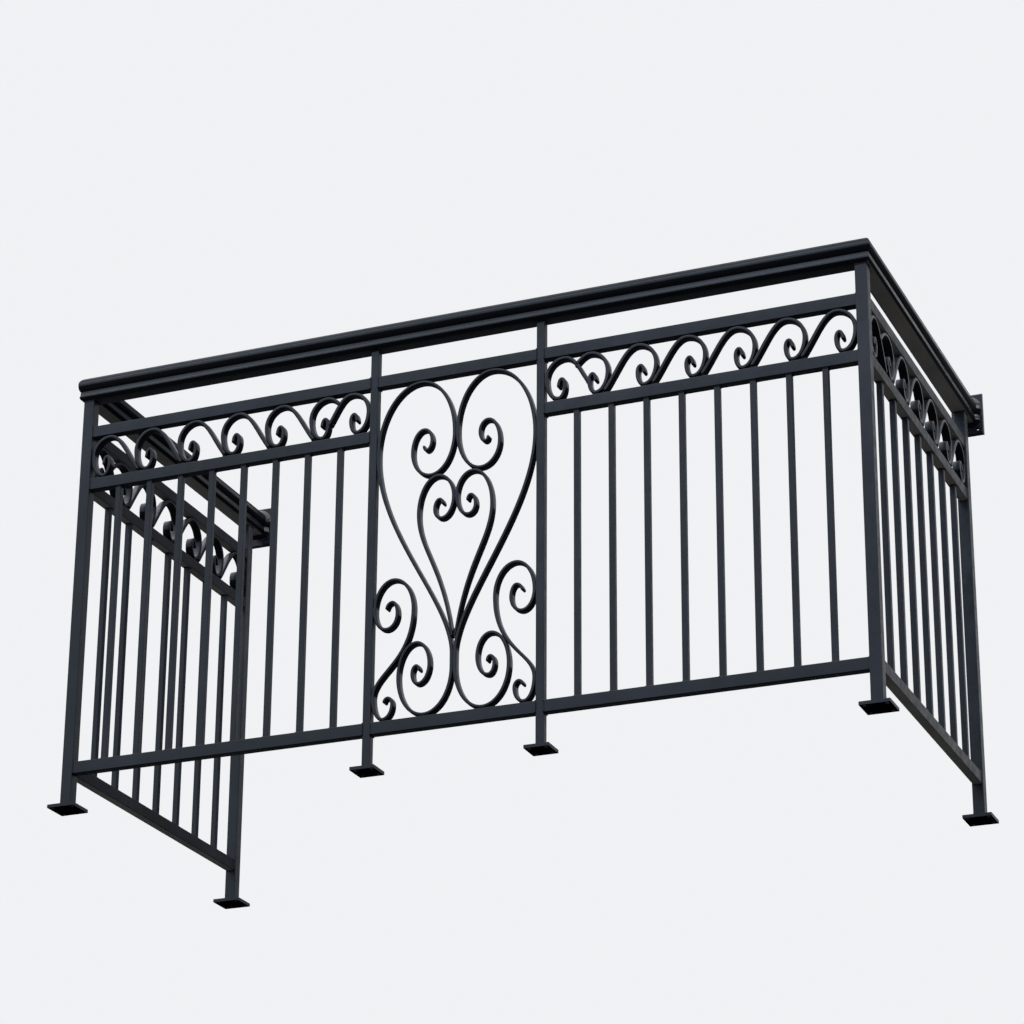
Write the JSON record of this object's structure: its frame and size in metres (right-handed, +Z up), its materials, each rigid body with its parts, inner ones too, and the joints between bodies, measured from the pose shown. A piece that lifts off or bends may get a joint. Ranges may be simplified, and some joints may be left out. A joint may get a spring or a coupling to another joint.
{
  "type": "balcony railing",
  "caption": "U-shaped iron balcony railing with square pickets, a running scroll frieze, a heart of bent flat bars in the middle panel, a moulded handrail, base plates and wall plates.",
  "frame": {"origin": "on the floor under the middle of the outer box", "axes": "+X to the right along the front, +Y from the front back to the wall, +Z up"},
  "size_m": [2.052, 0.962, 1.133],
  "materials": {
    "frame_iron": "satin",
    "scroll_iron": "satin",
    "handrail_iron": "satin",
    "plate_iron": "gloss"
  },
  "bodies": {
    "root": {"corner_posts": "frame_iron", "middle_posts": "frame_iron", "wall_end_posts": "frame_iron", "front_base_plates": "plate_iron", "rear_base_plates": "plate_iron", "handrail_front": "handrail_iron", "handrail_left": "handrail_iron", "handrail_right": "handrail_iron", "wall_plate_left": "plate_iron", "wall_plate_right": "plate_iron", "upper_rail_left_bay": "frame_iron", "upper_rail_heart_panel": "frame_iron", "upper_rail_right_bay": "frame_iron", "upper_rail_left_return": "frame_iron", "upper_rail_right_return": "frame_iron", "lower_rail_left_bay": "frame_iron", "lower_rail_right_bay": "frame_iron", "lower_rail_left_return": "frame_iron", "lower_rail_right_return": "frame_iron", "bottom_rail_left_bay": "frame_iron", "bottom_rail_heart_panel": "frame_iron", "bottom_rail_right_bay": "frame_iron", "bottom_rail_left_return": "frame_iron", "bottom_rail_right_return": "frame_iron", "pickets_left_bay": "frame_iron", "pickets_right_bay": "frame_iron", "pickets_left_return": "frame_iron", "pickets_right_return": "frame_iron", "frieze_left_bay": "scroll_iron", "frieze_right_bay": "scroll_iron", "frieze_left_return": "scroll_iron", "frieze_right_return": "scroll_iron", "heart_scroll_left": "scroll_iron", "heart_scroll_right": "scroll_iron", "inner_scroll_left": "scroll_iron", "inner_scroll_right": "scroll_iron", "side_scroll_left": "scroll_iron", "side_scroll_right": "scroll_iron"}
  },
  "joints": []
}
